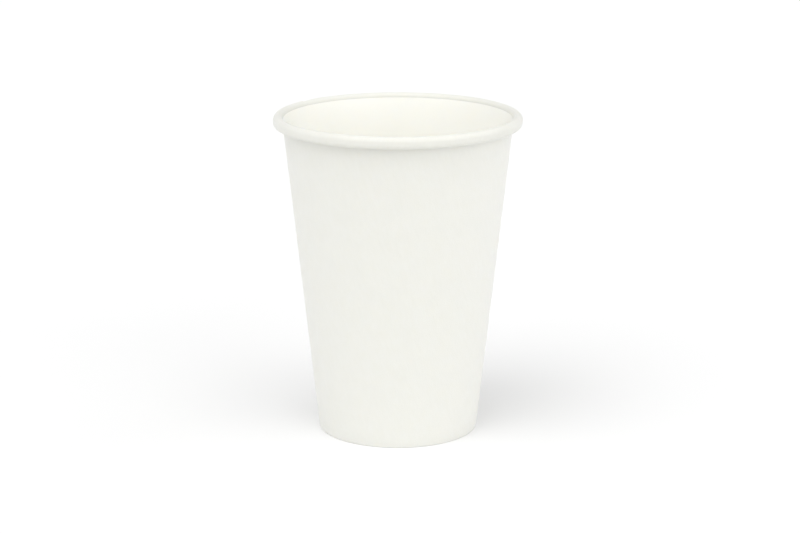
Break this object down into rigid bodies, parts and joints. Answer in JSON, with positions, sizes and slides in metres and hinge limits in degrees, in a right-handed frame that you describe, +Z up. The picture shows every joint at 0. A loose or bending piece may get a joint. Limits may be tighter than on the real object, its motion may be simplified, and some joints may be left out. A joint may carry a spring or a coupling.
{
  "type": "paper coffee cup",
  "caption": "Tapered single-wall paper cup with a rolled rim, a lapped side seam and a base set up inside the foot.",
  "frame": {"origin": "centre of the foot, on the table that the cup stands on", "axes": "+Z up along the cup's axis, out of its mouth; the lapped side seam is at the back, about 55 degrees from +Y towards -X"},
  "size_m": [0.09, 0.09, 0.117],
  "materials": {
    "wall_board": "matte",
    "base_board": "matte"
  },
  "bodies": {
    "root": {"side_wall": "wall_board", "base_disc": "base_board"}
  },
  "joints": []
}
